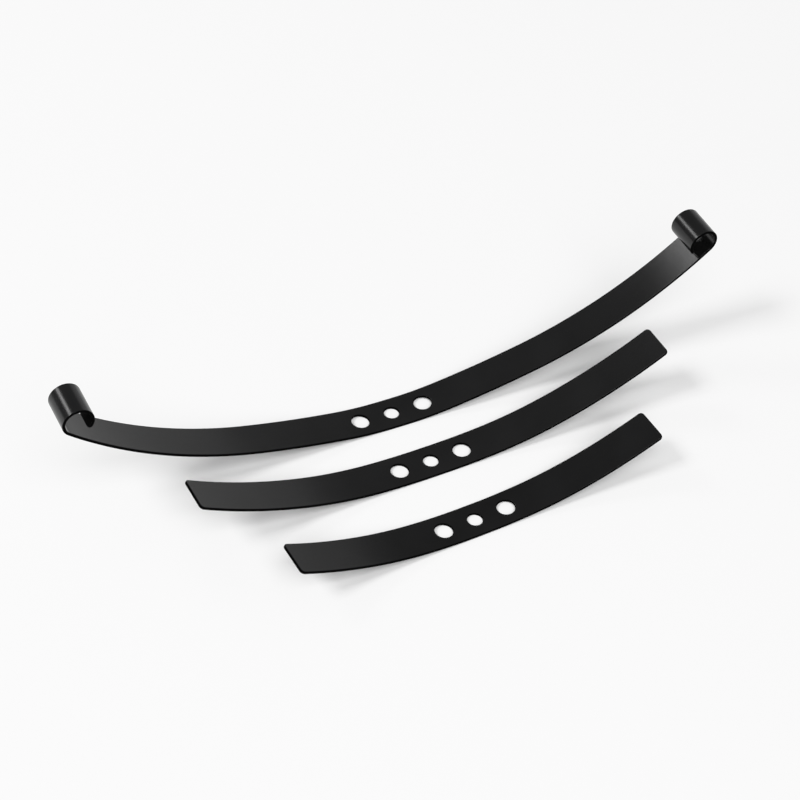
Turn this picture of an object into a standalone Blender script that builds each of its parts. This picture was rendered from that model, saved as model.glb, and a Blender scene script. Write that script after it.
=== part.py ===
"""Three-leaf spring set for a one-tenth scale truck axle.

Three loose leaves of black coated spring steel lie side by side, each resting on its belly with
both ends raised: a main leaf with a rolled eye at each end, and two shorter leaves that stack
under it. Every leaf is made as the real one is: a flat blank with rounded corners and three
punched holes is bent along its centre line. Metres, +Z up, +X along the main leaf. The origin is
the middle of the set's underside.
"""

import math

import bmesh
import bpy
import numpy as np
from mathutils import Matrix, Vector

MM = 0.001

# Strip, common to all leaves
WIDTH = 8.0 * MM
THICKNESS = 0.65 * MM
CORNER_RADIUS = 0.9 * MM
CORNER_SEGMENTS = 5

# Punched holes: the middle one locates the pack, the outer two take its clamp screws
HOLE_PITCH = 7.25 * MM
MIDDLE_HOLE_DIAMETER = 3.2 * MM
OUTER_HOLE_DIAMETER = 3.8 * MM
HOLE_SIDES = 32
PUNCH_LENGTH = 4.0 * MM

# Rolled eye: the strip turns back over itself and ends clear of its own upper face
EYE_INNER_DIAMETER = 5.25 * MM
EYE_WRAP = math.radians(278)
EYE_STEP = math.radians(10)

# Camber: a short flat land at the middle, then arcs of (length along the strip, bend radius)
SEAT_HALF_LENGTH = 1.5 * MM
STATION_STEP = 3.0 * MM
ROUNDING_SLACK = 1e-6
LEAVES = {
    "main_leaf": {
        "arcs": ((10.5 * MM, 70 * MM), (20 * MM, 220 * MM), (45.4 * MM, 94 * MM)),
        "eyes": True,
        "place": (0.0, 0.0),
        "turn": 0.0,
    },
    "second_leaf": {
        "arcs": ((10.5 * MM, 143 * MM), (18 * MM, 83 * MM), (25.8 * MM, 108 * MM)),
        "eyes": False,
        "place": (1.4 * MM, -15.5 * MM),
        "turn": math.radians(1.7),
    },
    "third_leaf": {
        "arcs": ((10.5 * MM, 104 * MM), (16 * MM, 81 * MM), (14.9 * MM, 99 * MM)),
        "eyes": False,
        "place": (2.3 * MM, -33.4 * MM),
        "turn": math.radians(3.1),
    },
}

SHARP_EDGE = math.radians(35)

COATED_STEEL = {"color": (0.020, 0.020, 0.021, 1.0), "roughness": 0.42, "metallic": 0.0}


def clear_scene():
    for old in list(bpy.data.objects):
        bpy.data.objects.remove(old, do_unlink=True)


def new_collection(name):
    collection = bpy.data.collections.new(name)
    bpy.context.scene.collection.children.link(collection)
    return collection


def coated_steel(name):
    material = bpy.data.materials.new(name)
    material.use_nodes = True
    shader = material.node_tree.nodes["Principled BSDF"]
    shader.inputs["Base Color"].default_value = COATED_STEEL["color"]
    shader.inputs["Roughness"].default_value = COATED_STEEL["roughness"]
    shader.inputs["Metallic"].default_value = COATED_STEEL["metallic"]
    material.diffuse_color = COATED_STEEL["color"]
    return material


def centre_line_pieces(leaf):
    """(length, bend radius, longest step) of each stretch from the middle of a leaf to one end."""
    pieces = [(SEAT_HALF_LENGTH, math.inf, SEAT_HALF_LENGTH)]
    pieces += [(length, radius, STATION_STEP) for length, radius in leaf["arcs"]]
    if leaf["eyes"]:
        eye_radius = (EYE_INNER_DIAMETER + THICKNESS) / 2
        pieces.append((eye_radius * EYE_WRAP, eye_radius, eye_radius * EYE_STEP))
    return pieces


def centre_line(leaf):
    """Stations along half of a leaf: distance along the strip, X, Z and slope of its middle."""
    stations = [(0.0, 0.0, THICKNESS / 2, 0.0)]
    for length, radius, longest_step in centre_line_pieces(leaf):
        steps = math.ceil(length / longest_step - ROUNDING_SLACK)
        start, x, z, slope = stations[-1]
        for index in range(1, steps + 1):
            run = length * index / steps
            turn = run / radius
            chord = run if turn == 0 else 2 * radius * math.sin(turn / 2)
            heading = slope + turn / 2
            point_x = x + chord * math.cos(heading)
            point_z = z + chord * math.sin(heading)
            stations.append((start + run, point_x, point_z, slope + turn))
    return np.array(stations)


def flat_blank(name, stations):
    """A flat strip with a cross cut at every station and rounded corners at both ends."""
    length = 2 * stations[-1]
    mesh = bpy.data.meshes.new(name)
    blank = bmesh.new()
    bmesh.ops.create_cube(blank, size=1.0, matrix=Matrix.Diagonal((length, WIDTH, THICKNESS, 1.0)))
    corners = [edge for edge in blank.edges if abs(edge.verts[0].co.z - edge.verts[1].co.z) > THICKNESS / 2]
    bmesh.ops.bevel(blank, geom=corners, offset=CORNER_RADIUS, segments=CORNER_SEGMENTS,
                    profile=0.5, affect="EDGES")
    for distance in stations[1:-1]:
        for side in (-1, 1):
            everything = blank.verts[:] + blank.edges[:] + blank.faces[:]
            bmesh.ops.bisect_plane(blank, geom=everything, plane_co=(side * distance, 0, 0),
                                   plane_no=(1, 0, 0))
    blank.to_mesh(mesh)
    blank.free()
    return mesh


def hole_cutter(name, diameter, x, collection):
    bpy.ops.mesh.primitive_cylinder_add(vertices=HOLE_SIDES, radius=diameter / 2,
                                        depth=PUNCH_LENGTH, location=(x, 0, 0))
    cutter = bpy.context.active_object
    cutter.name = name
    cutter.hide_render = True
    cutter.display_type = "WIRE"
    for owner in list(cutter.users_collection):
        owner.objects.unlink(cutter)
    collection.objects.link(cutter)
    return cutter


def punch_holes(blank, cutters):
    for cutter in cutters:
        cut = blank.modifiers.new(cutter.name, "BOOLEAN")
        cut.operation = "DIFFERENCE"
        cut.solver = "EXACT"
        cut.object = cutter
    evaluated = blank.evaluated_get(bpy.context.evaluated_depsgraph_get())
    punched = bpy.data.meshes.new_from_object(evaluated)
    blank.modifiers.clear()
    return punched


def bend(mesh, line):
    """Wraps a flat blank, centred on the origin, round its centre line."""
    distance, line_x, line_z, line_slope = line.T
    for vertex in mesh.vertices:
        side = math.copysign(1.0, vertex.co.x)
        along = abs(vertex.co.x)
        x = np.interp(along, distance, line_x)
        z = np.interp(along, distance, line_z)
        slope = np.interp(along, distance, line_slope)
        height = vertex.co.z
        vertex.co.x = side * (x - height * math.sin(slope))
        vertex.co.z = z + height * math.cos(slope)


def build_leaf(name, leaf, parts, cutters):
    line = centre_line(leaf)
    blank = bpy.data.objects.new(name, flat_blank(name + "_blank", line[:, 0]))
    parts.objects.link(blank)
    punches = [
        hole_cutter(name + "_middle_punch", MIDDLE_HOLE_DIAMETER, 0.0, cutters),
        hole_cutter(name + "_left_punch", OUTER_HOLE_DIAMETER, -HOLE_PITCH, cutters),
        hole_cutter(name + "_right_punch", OUTER_HOLE_DIAMETER, HOLE_PITCH, cutters),
    ]
    flat = blank.data
    blank.data = punch_holes(blank, punches)
    bpy.data.meshes.remove(flat)
    bend(blank.data, line)
    blank.data.name = name
    blank.data.materials.append(coated_steel(name))
    blank.data.shade_smooth()
    blank.data.set_sharp_from_angle(angle=SHARP_EDGE)
    blank.location = (leaf["place"][0], leaf["place"][1], 0.0)
    blank.rotation_euler = (0.0, 0.0, leaf["turn"])
    return blank


def centre_on_origin(leaves):
    """Slides the set so that the middle of its underside is the origin."""
    bpy.context.view_layer.update()
    corners = [leaf.matrix_world @ vertex.co for leaf in leaves for vertex in leaf.data.vertices]
    low = Vector([min(corner[axis] for corner in corners) for axis in range(3)])
    high = Vector([max(corner[axis] for corner in corners) for axis in range(3)])
    middle = (low + high) / 2
    for leaf in leaves:
        leaf.location -= Vector((middle.x, middle.y, low.z))


def main():
    clear_scene()
    parts = new_collection("leaf_spring_set")
    cutters = new_collection("cutters")
    leaves = [build_leaf(name, leaf, parts, cutters) for name, leaf in LEAVES.items()]
    centre_on_origin(leaves)


main()
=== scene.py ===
"""Looks of the loose leaf spring set: three black coated spring steel leaves on a white table.

Each leaf is a fine mesh of the same strip as its CAD solid. It is laid out flat, in rows of faces
that run round the punched holes and the rounded corners, with softly rounded edges all round, and
is then bent along the leaf's centre line. Metres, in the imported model's frame.
"""

import math

import bpy
import numpy as np
from mathutils import Matrix, Vector


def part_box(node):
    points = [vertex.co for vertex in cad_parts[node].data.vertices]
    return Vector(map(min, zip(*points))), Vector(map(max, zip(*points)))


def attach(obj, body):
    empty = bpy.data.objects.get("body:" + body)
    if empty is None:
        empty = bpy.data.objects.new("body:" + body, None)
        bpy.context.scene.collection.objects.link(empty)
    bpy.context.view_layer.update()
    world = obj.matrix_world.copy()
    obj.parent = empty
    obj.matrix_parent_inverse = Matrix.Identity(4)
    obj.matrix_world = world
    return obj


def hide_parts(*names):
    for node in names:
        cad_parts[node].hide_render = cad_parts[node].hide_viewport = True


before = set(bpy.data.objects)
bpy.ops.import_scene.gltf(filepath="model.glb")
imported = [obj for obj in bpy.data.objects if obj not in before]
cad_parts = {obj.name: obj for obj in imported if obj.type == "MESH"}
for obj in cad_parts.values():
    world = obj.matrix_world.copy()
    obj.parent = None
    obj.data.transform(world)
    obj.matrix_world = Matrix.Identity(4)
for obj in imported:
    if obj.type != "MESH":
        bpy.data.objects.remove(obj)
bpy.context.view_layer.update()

MM = 0.001
TINY = 1e-9
UP = Vector((0.0, 0.0, 1.0))

# Strip and holes, as in the CAD model
THICKNESS = 0.65 * MM
WIDTH = 8.0 * MM
CORNER_RADIUS = 0.9 * MM
HOLE_PITCH = 7.25 * MM
MIDDLE_HOLE_RADIUS = 1.6 * MM
OUTER_HOLE_RADIUS = 1.9 * MM
SEAT_HALF_LENGTH = 1.5 * MM
EYE_RADIUS = 2.95 * MM
EYE_WRAP = math.radians(278)

# Each leaf: its bend from the seat outwards, as (length along the strip, bend radius), its turn on
# the table, the material slot of its node and its coating's gloss, lowered on the third leaf as painted
# shade
LEAVES = {
    "main_leaf": {
        "arcs": ((10.5 * MM, 70 * MM), (20 * MM, 220 * MM), (45.4 * MM, 94 * MM)),
        "eyes": True,
        "turn": 0.0,
        "slot": "coated_steel_main",
        "gloss_and_painted_shade": 0.51,
    },
    "second_leaf": {
        "arcs": ((10.5 * MM, 143 * MM), (18 * MM, 83 * MM), (25.8 * MM, 108 * MM)),
        "eyes": False,
        "turn": math.radians(1.7),
        "slot": "coated_steel_second",
        "gloss_and_painted_shade": 0.52,
    },
    "third_leaf": {
        "arcs": ((10.5 * MM, 104 * MM), (16 * MM, 81 * MM), (14.9 * MM, 99 * MM)),
        "eyes": False,
        "turn": math.radians(3.1),
        "slot": "coated_steel_third",
        # Lower gloss here is painted shade: the darker reflection that falls on this leaf
        "gloss_and_painted_shade": 0.38,
    },
}

# Fineness of a mesh: the longest row on the arms; the rows on a quarter of a hole, on the bridge
# between two holes, on a corner and on an eye; and the columns from the middle to a side
ROW_STEP = 0.8 * MM
HOLE_ROWS = 14
BRIDGE_ROWS = 5
CORNER_ROWS = 8
EYE_ROWS = 90
COLUMNS = 7

# Softly rounded edges: the first steps of the rounding, from each face, take the face finish; the
# steps between them take the edge finish, painted near black as painted shade
EDGE_ROUND = 0.20 * MM
EDGE_STEPS = 6
FACE_STEPS = 2

# Material slots of a leaf's mesh: its coated faces and its edges, painted near black as painted shade
COATED = 0
PAINTED_DARK_EDGE = 1

# Units of the "strip" texture map to a metre of the flat strip
STRIP_MAP_SCALE = 100.0


# ---------------------------------------------------------------- leaf meshes


def centre_line(leaf):
    """Pieces of half a centre line: (start, x, z, slope, radius) where each one begins."""
    lengths = [(SEAT_HALF_LENGTH, math.inf), *leaf["arcs"]]
    if leaf["eyes"]:
        lengths.append((EYE_RADIUS * EYE_WRAP, EYE_RADIUS))
    pieces = []
    start, x, z, slope = 0.0, 0.0, THICKNESS / 2, 0.0
    for length, radius in lengths:
        pieces.append((start, x, z, slope, radius))
        x, z, slope = along_arc(x, z, slope, radius, length)
        start += length
    return pieces, start


def along_arc(x, z, slope, radius, run):
    turn = run / radius
    chord = run if turn == 0 else 2 * radius * math.sin(turn / 2)
    heading = slope + turn / 2
    return x + chord * math.cos(heading), z + chord * math.sin(heading), slope + turn


def bend(pieces, distance):
    """Point of the centre line at a distance from the middle, negative on the left, and its turn."""
    reach = abs(distance)
    side = math.copysign(1.0, distance)
    start, x, z, slope, radius = [piece for piece in pieces if piece[0] <= reach + TINY][-1]
    x, z, slope = along_arc(x, z, slope, radius, reach - start)
    return Vector((side * x, 0.0, z)), Matrix.Rotation(-side * slope, 3, "Y")


def hole_rows(centre, radius, first, last):
    """(distance, half width of the hole) of each cross line over a hole, between two angles."""
    steps = round(HOLE_ROWS * (last - first) / (math.pi / 2))
    angles = np.linspace(first, last, steps + 1)
    return [(centre - radius * math.cos(angle), radius * abs(math.sin(angle))) for angle in angles]


def half_rows(leaf, length):
    """(distance, half width of the hole, half width of the flat) of each cross line of half a leaf."""
    middle_hole = MIDDLE_HOLE_RADIUS + EDGE_ROUND
    outer_hole = OUTER_HOLE_RADIUS + EDGE_ROUND
    corner = CORNER_RADIUS - EDGE_ROUND
    corner_start = length - CORNER_RADIUS
    arm_start = HOLE_PITCH + outer_hole
    arm_end = length - EYE_RADIUS * EYE_WRAP if leaf["eyes"] else corner_start
    rows = hole_rows(0.0, middle_hole, math.pi / 2, math.pi)
    bridge = np.linspace(middle_hole, HOLE_PITCH - outer_hole, BRIDGE_ROWS + 1)
    rows += [(distance, 0.0) for distance in bridge[1:-1]]
    rows += hole_rows(HOLE_PITCH, outer_hole, 0.0, math.pi)
    arm = np.linspace(arm_start, arm_end, math.ceil((arm_end - arm_start) / ROW_STEP) + 1)
    rows += [(distance, 0.0) for distance in arm[1:]]
    if leaf["eyes"]:
        eye = np.linspace(arm_end, corner_start, EYE_ROWS + 1)
        rows += [(distance, 0.0) for distance in eye[1:]]
    flat_width = WIDTH / 2 - EDGE_ROUND
    rows = [(distance, hole if hole > TINY else 0.0, flat_width) for distance, hole in rows]
    for index in range(1, CORNER_ROWS + 1):
        angle = math.pi / 2 * index / CORNER_ROWS
        width = flat_width - corner * (1 - math.cos(angle))
        rows.append((corner_start + corner * math.sin(angle), 0.0, width))
    return rows


def flat_sheet(leaf, length):
    """The flat part of a leaf's upper face, inside the rounded edges: places and faces."""
    right = half_rows(leaf, length)
    rows = [(-distance, hole, width) for distance, hole, width in reversed(right[1:])] + right
    places, index_of = [], {}
    for row, (distance, hole, width) in enumerate(rows):
        for side in (-1, 1):
            for column in range(COLUMNS + 1):
                if column == 0 and hole == 0 and side == 1:
                    index_of[row, 1, 0] = index_of[row, -1, 0]
                    continue
                index_of[row, side, column] = len(places)
                places.append((distance, side * (hole + (width - hole) * column / COLUMNS)))
    faces = []
    for row in range(len(rows) - 1):
        for column in range(COLUMNS):
            corners = [(row, column), (row + 1, column), (row + 1, column + 1), (row, column + 1)]
            faces.append([index_of[line, 1, at] for line, at in corners])
            faces.append([index_of[line, -1, at] for line, at in reversed(corners)])
    return places, faces


def outward(place, length):
    """Direction away from the steel, in the flat strip, at a place on the edge of the sheet."""
    distance, across = place
    holes = ((-HOLE_PITCH, OUTER_HOLE_RADIUS), (0.0, MIDDLE_HOLE_RADIUS), (HOLE_PITCH, OUTER_HOLE_RADIUS))
    for centre, radius in holes:
        from_centre = Vector((distance - centre, across))
        if from_centre.length < radius + 2 * EDGE_ROUND:
            return -from_centre.normalized()
    past_side = max(abs(across) - (WIDTH / 2 - CORNER_RADIUS), 0.0)
    past_end = max(abs(distance) - (length - CORNER_RADIUS), 0.0)
    return Vector((math.copysign(past_end, distance), math.copysign(past_side, across))).normalized()


def edge_profile():
    """(reach outwards, height, tilt of the surface) of each loop round an edge, from the top down."""
    tilts = [math.pi / 2 * step / EDGE_STEPS for step in range(EDGE_STEPS + 1)]
    top = [(EDGE_ROUND * math.sin(tilt), THICKNESS / 2 - EDGE_ROUND * (1 - math.cos(tilt)), tilt)
           for tilt in tilts]
    return top + [(reach, -height, math.pi - tilt) for reach, height, tilt in reversed(top)]


def flat_leaf(leaf, length):
    """A whole flat leaf: (distance, across, height) and normal of each vertex, faces, materials."""
    places, top_faces = flat_sheet(leaf, length)
    vertices = [(Vector((*place, THICKNESS / 2)), UP) for place in places]
    vertices += [(Vector((*place, -THICKNESS / 2)), -UP) for place in places]
    faces = [(face, COATED) for face in top_faces]
    faces += [([index + len(places) for index in reversed(face)], COATED) for face in top_faces]

    sides = {(a, b) for face in top_faces for a, b in zip(face, face[1:] + face[:1])}
    open_sides = sorted((a, b) for a, b in sides if (b, a) not in sides)
    loops = {}
    for index, _ in open_sides:
        out = outward(places[index], length).to_3d()
        loops[index] = [index]
        for reach, height, tilt in edge_profile()[1:-1]:
            loops[index].append(len(vertices))
            place = Vector((*places[index], height)) + out * reach
            vertices.append((place, out * math.sin(tilt) + UP * math.cos(tilt)))
        loops[index].append(index + len(places))
    bands = len(edge_profile()) - 1
    for a, b in open_sides:
        for level in range(bands):
            # The middle steps of each rounding take the edge material, painted near black as painted
            # shade
            painted_dark = FACE_STEPS <= level < bands - FACE_STEPS
            quad = [loops[b][level], loops[a][level], loops[a][level + 1], loops[b][level + 1]]
            faces.append((quad, PAINTED_DARK_EDGE if painted_dark else COATED))
    return vertices, faces


def leaf_mesh(name, leaf, materials):
    """The bent leaf, with its normals, materials and texture map, its belly on the origin."""
    pieces, length = centre_line(leaf)
    vertices, faces = flat_leaf(leaf, length)
    bent, normals = [], []
    for place, normal in vertices:
        point, turn = bend(pieces, place.x)
        bent.append(point + turn @ Vector((0.0, place.y, place.z)))
        normals.append(turn @ normal)
    mesh = bpy.data.meshes.new(name)
    mesh.from_pydata(bent, [], [face for face, _ in faces])
    mesh.polygons.foreach_set("material_index", [material for _, material in faces])
    mesh.shade_smooth()
    mesh.normals_split_custom_set_from_vertices(normals)
    strip_map = mesh.uv_layers.new(name="strip")
    for loop in mesh.loops:
        place, _ = vertices[loop.vertex_index]
        strip_map.data[loop.index].uv = (place.x * STRIP_MAP_SCALE, place.y * STRIP_MAP_SCALE)
    for material in materials:
        mesh.materials.append(material)
    return mesh


def leaf_piece(node, leaf, materials):
    """The visible leaf, laid where its CAD node lies."""
    name = node + "_steel"
    piece = bpy.data.objects.new(name, leaf_mesh(name, leaf, materials))
    bpy.context.collection.objects.link(piece)
    low, high = (Vector(corner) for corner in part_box(node))
    middle = (low + high) / 2
    on_table = Matrix.Translation((middle.x, middle.y, low.z))
    piece.matrix_world = on_table @ Matrix.Rotation(leaf["turn"], 4, "Z")
    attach(piece, node)
    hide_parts(node)


# ---------------------------------------------------------------- materials

# Finishes: darkest and lightest colour, where their change lies in the clouds, and least and most
# roughness
FACE_FINISH = {
    "colours": ((0.0035, 0.0035, 0.0036), (0.0060, 0.0060, 0.0062)),
    "change": (0.3, 0.7),
    "roughness": (0.19, 0.27),
}
# The edges have the same coating as the faces: this near black, dull finish is painted shade
PAINTED_DARK_EDGE_FINISH = {
    "colours": ((0.0010, 0.0010, 0.0010), (0.0016, 0.0016, 0.0016)),
    "change": (0.3, 0.7),
    "roughness": (0.45, 0.60),
}
# Reflection of the edges turned down, part of the same painted shade
PAINTED_DARK_EDGE_GLOSS = 0.01
COATING_IOR = 1.4

# Noise of the coating: lengthwise grain, orange peel and clouds in its tone
GRAIN = {"scale": 1.0, "detail": 4.0}
GRAIN_STRETCH = (0.8, 26.0, 1.0)
GRAIN_STRENGTH = 0.20
PEEL = {"scale": 2600.0, "detail": 2.0}
PEEL_STRENGTH = 0.25
BUMP_DEPTH = 0.02 * MM
COATING_CLOUDS = {"scale": 90.0, "detail": 3.0}

TABLE_FINISH = {"colours": ((0.80, 0.80, 0.80), (0.84, 0.84, 0.84)), "change": (0.0, 1.0)}
TABLE_ROUGHNESS = 0.6
TABLE_GLOSS = 0.3
TABLE_CLOUDS = {"scale": 6.0, "detail": 2.0}


def new_material(name):
    material = bpy.data.materials.new(name)
    material.use_nodes = True
    nodes, links = material.node_tree.nodes, material.node_tree.links
    return material, nodes, links, nodes["Principled BSDF"]


def noise(nodes, links, coordinates, pattern):
    """Output of a noise texture laid over the given coordinates."""
    texture = nodes.new("ShaderNodeTexNoise")
    texture.inputs["Scale"].default_value = pattern["scale"]
    texture.inputs["Detail"].default_value = pattern["detail"]
    links.new(coordinates, texture.inputs["Vector"])
    return texture.outputs["Fac"]


def cloudy_colour(nodes, links, clouds, finish, shader):
    """Colours the shader between the two colours of a finish, as the clouds go."""
    ramp = nodes.new("ShaderNodeValToRGB")
    for element, position, colour in zip(ramp.color_ramp.elements, finish["change"], finish["colours"]):
        element.position = position
        element.color = (*colour, 1.0)
    links.new(clouds, ramp.inputs["Fac"])
    links.new(ramp.outputs["Color"], shader.inputs["Base Color"])


def bump(nodes, links, pattern, strength):
    node = nodes.new("ShaderNodeBump")
    node.inputs["Strength"].default_value = strength
    node.inputs["Distance"].default_value = BUMP_DEPTH
    links.new(pattern, node.inputs["Height"])
    return node


def coated_steel(name, finish, gloss_and_painted_shade):
    """Black coating over rolled strip, with a faint lengthwise grain and fine orange peel."""
    material, nodes, links, shader = new_material(name)
    shader.inputs["Metallic"].default_value = 0.0
    shader.inputs["IOR"].default_value = COATING_IOR
    # Specular level: lowered as painted shade on the third leaf and on the edges
    shader.inputs["Specular IOR Level"].default_value = gloss_and_painted_shade

    strip = nodes.new("ShaderNodeUVMap")
    strip.uv_map = "strip"
    stretch = nodes.new("ShaderNodeMapping")
    stretch.inputs["Scale"].default_value = GRAIN_STRETCH
    links.new(strip.outputs["UV"], stretch.inputs["Vector"])
    place = nodes.new("ShaderNodeTexCoord").outputs["Object"]
    grain = noise(nodes, links, stretch.outputs["Vector"], GRAIN)
    peel = noise(nodes, links, place, PEEL)
    clouds = noise(nodes, links, place, COATING_CLOUDS)

    cloudy_colour(nodes, links, clouds, finish, shader)
    roughness = nodes.new("ShaderNodeMapRange")
    roughness.inputs["To Min"].default_value = finish["roughness"][0]
    roughness.inputs["To Max"].default_value = finish["roughness"][1]
    links.new(grain, roughness.inputs["Value"])
    links.new(roughness.outputs["Result"], shader.inputs["Roughness"])

    peel_bump = bump(nodes, links, peel, PEEL_STRENGTH)
    grain_bump = bump(nodes, links, grain, GRAIN_STRENGTH)
    links.new(peel_bump.outputs["Normal"], grain_bump.inputs["Normal"])
    links.new(grain_bump.outputs["Normal"], shader.inputs["Normal"])
    return material


def table_white():
    """Matt white, with broad and very faint clouds."""
    material, nodes, links, shader = new_material("table_white")
    shader.inputs["Roughness"].default_value = TABLE_ROUGHNESS
    shader.inputs["Specular IOR Level"].default_value = TABLE_GLOSS
    place = nodes.new("ShaderNodeTexCoord").outputs["Object"]
    clouds = noise(nodes, links, place, TABLE_CLOUDS)
    cloudy_colour(nodes, links, clouds, TABLE_FINISH, shader)
    return material


# ---------------------------------------------------------------- camera, table and light

CAMERA_TURN = math.radians(30.1)
CAMERA_RISE = math.radians(44.7)
CAMERA_ROLL = math.radians(5.5)
CAMERA_DISTANCE = 459 * MM
CAMERA_LENS = 98.0
CAMERA_NEAR = 10 * MM
CAMERA_AIM = Vector((3.6 * MM, 21.0 * MM, 0.0))

TABLE_SIDE = 6.0
TABLE_GAP = 0.02 * MM

# Softboxes: turn from +X towards +Y and rise above the table in degrees, distance and side in
# metres, power in watts
SOFTBOXES = {
    "key_softbox": {"turn": 175, "rise": 50, "distance": 1.6, "side": 0.42, "power": 11.5},
    "front_softbox": {"turn": -104, "rise": 48, "distance": 3.0, "side": 2.4, "power": 90},
    "back_strip": {"turn": 130, "rise": 36, "distance": 0.85, "side": 0.18, "power": 0.9},
    "right_glow": {"turn": 40, "rise": 14, "distance": 1.4, "side": 0.7, "power": 0.7},
}
ROOM_LIGHT = 0.245

# Tone of the picture, as (light, shown light): as it is in the darks, a little lifted in the mid
# tones, and easing off just under white. The last of the four curves is the combined one.
TONE_CURVE = ((0, 0), (0.1, 0.1), (0.5, 0.51), (0.85, 0.875), (1.05, 0.955), (1.4, 0.985))
COMBINED_CURVE = 3


def add_camera():
    """A long lens that looks along +Y and +X from the front left, down onto the set."""
    data = bpy.data.cameras.new("camera")
    data.lens = CAMERA_LENS
    data.clip_start = CAMERA_NEAR
    camera = bpy.data.objects.new("camera", data)
    bpy.context.collection.objects.link(camera)
    flat = math.cos(CAMERA_RISE)
    forward = Vector((math.sin(CAMERA_TURN) * flat, math.cos(CAMERA_TURN) * flat, -math.sin(CAMERA_RISE)))
    right = Vector((math.cos(CAMERA_TURN), -math.sin(CAMERA_TURN), 0.0))
    upward = right.cross(forward)
    across = right * math.cos(CAMERA_ROLL) + upward * math.sin(CAMERA_ROLL)
    upright = upward * math.cos(CAMERA_ROLL) - right * math.sin(CAMERA_ROLL)
    turned = Matrix((across, upright, -forward)).transposed().to_4x4()
    camera.matrix_world = Matrix.Translation(CAMERA_AIM - forward * CAMERA_DISTANCE) @ turned
    bpy.context.scene.camera = camera


def add_table():
    bpy.ops.mesh.primitive_plane_add(size=TABLE_SIDE, location=(0, 0, -TABLE_GAP))
    table = bpy.context.active_object
    table.name = "table"
    table.data.materials.append(table_white())


def add_softbox(name, box):
    """A square softbox that faces the set."""
    turn, rise = math.radians(box["turn"]), math.radians(box["rise"])
    away = Vector((math.cos(turn) * math.cos(rise), math.sin(turn) * math.cos(rise), math.sin(rise)))
    data = bpy.data.lights.new(name, "AREA")
    data.size = box["side"]
    data.energy = box["power"]
    softbox = bpy.data.objects.new(name, data)
    bpy.context.collection.objects.link(softbox)
    softbox.location = away * box["distance"]
    softbox.rotation_euler = away.to_track_quat("Z", "Y").to_euler()


def add_room_light():
    world = bpy.data.worlds.new("room")
    bpy.context.scene.world = world
    world.use_nodes = True
    world.node_tree.nodes["Background"].inputs["Color"].default_value = (1, 1, 1, 1)
    world.node_tree.nodes["Background"].inputs["Strength"].default_value = ROOM_LIGHT


def set_picture_tone():
    view = bpy.context.scene.view_settings
    view.view_transform = "Standard"
    view.use_curve_mapping = True
    mapping = view.curve_mapping
    mapping.clip_max_x = TONE_CURVE[-1][0]
    curve = mapping.curves[COMBINED_CURVE]
    curve.points[0].location = TONE_CURVE[0]
    curve.points[1].location = TONE_CURVE[-1]
    for point in TONE_CURVE[1:-1]:
        curve.points.new(*point)
    mapping.update()


# ---------------------------------------------------------------- the whole scene


def main():
    set_picture_tone()
    add_camera()
    add_table()
    for name, box in SOFTBOXES.items():
        add_softbox(name, box)
    add_room_light()
    for node, leaf in LEAVES.items():
        face = coated_steel(node + "_face", FACE_FINISH, leaf["gloss_and_painted_shade"])
        # Edge material: the same coating, painted near black and dull as painted shade
        edge = coated_steel(node + "_edge", PAINTED_DARK_EDGE_FINISH, PAINTED_DARK_EDGE_GLOSS)
        leaf_piece(node, leaf, (face, edge))


main()
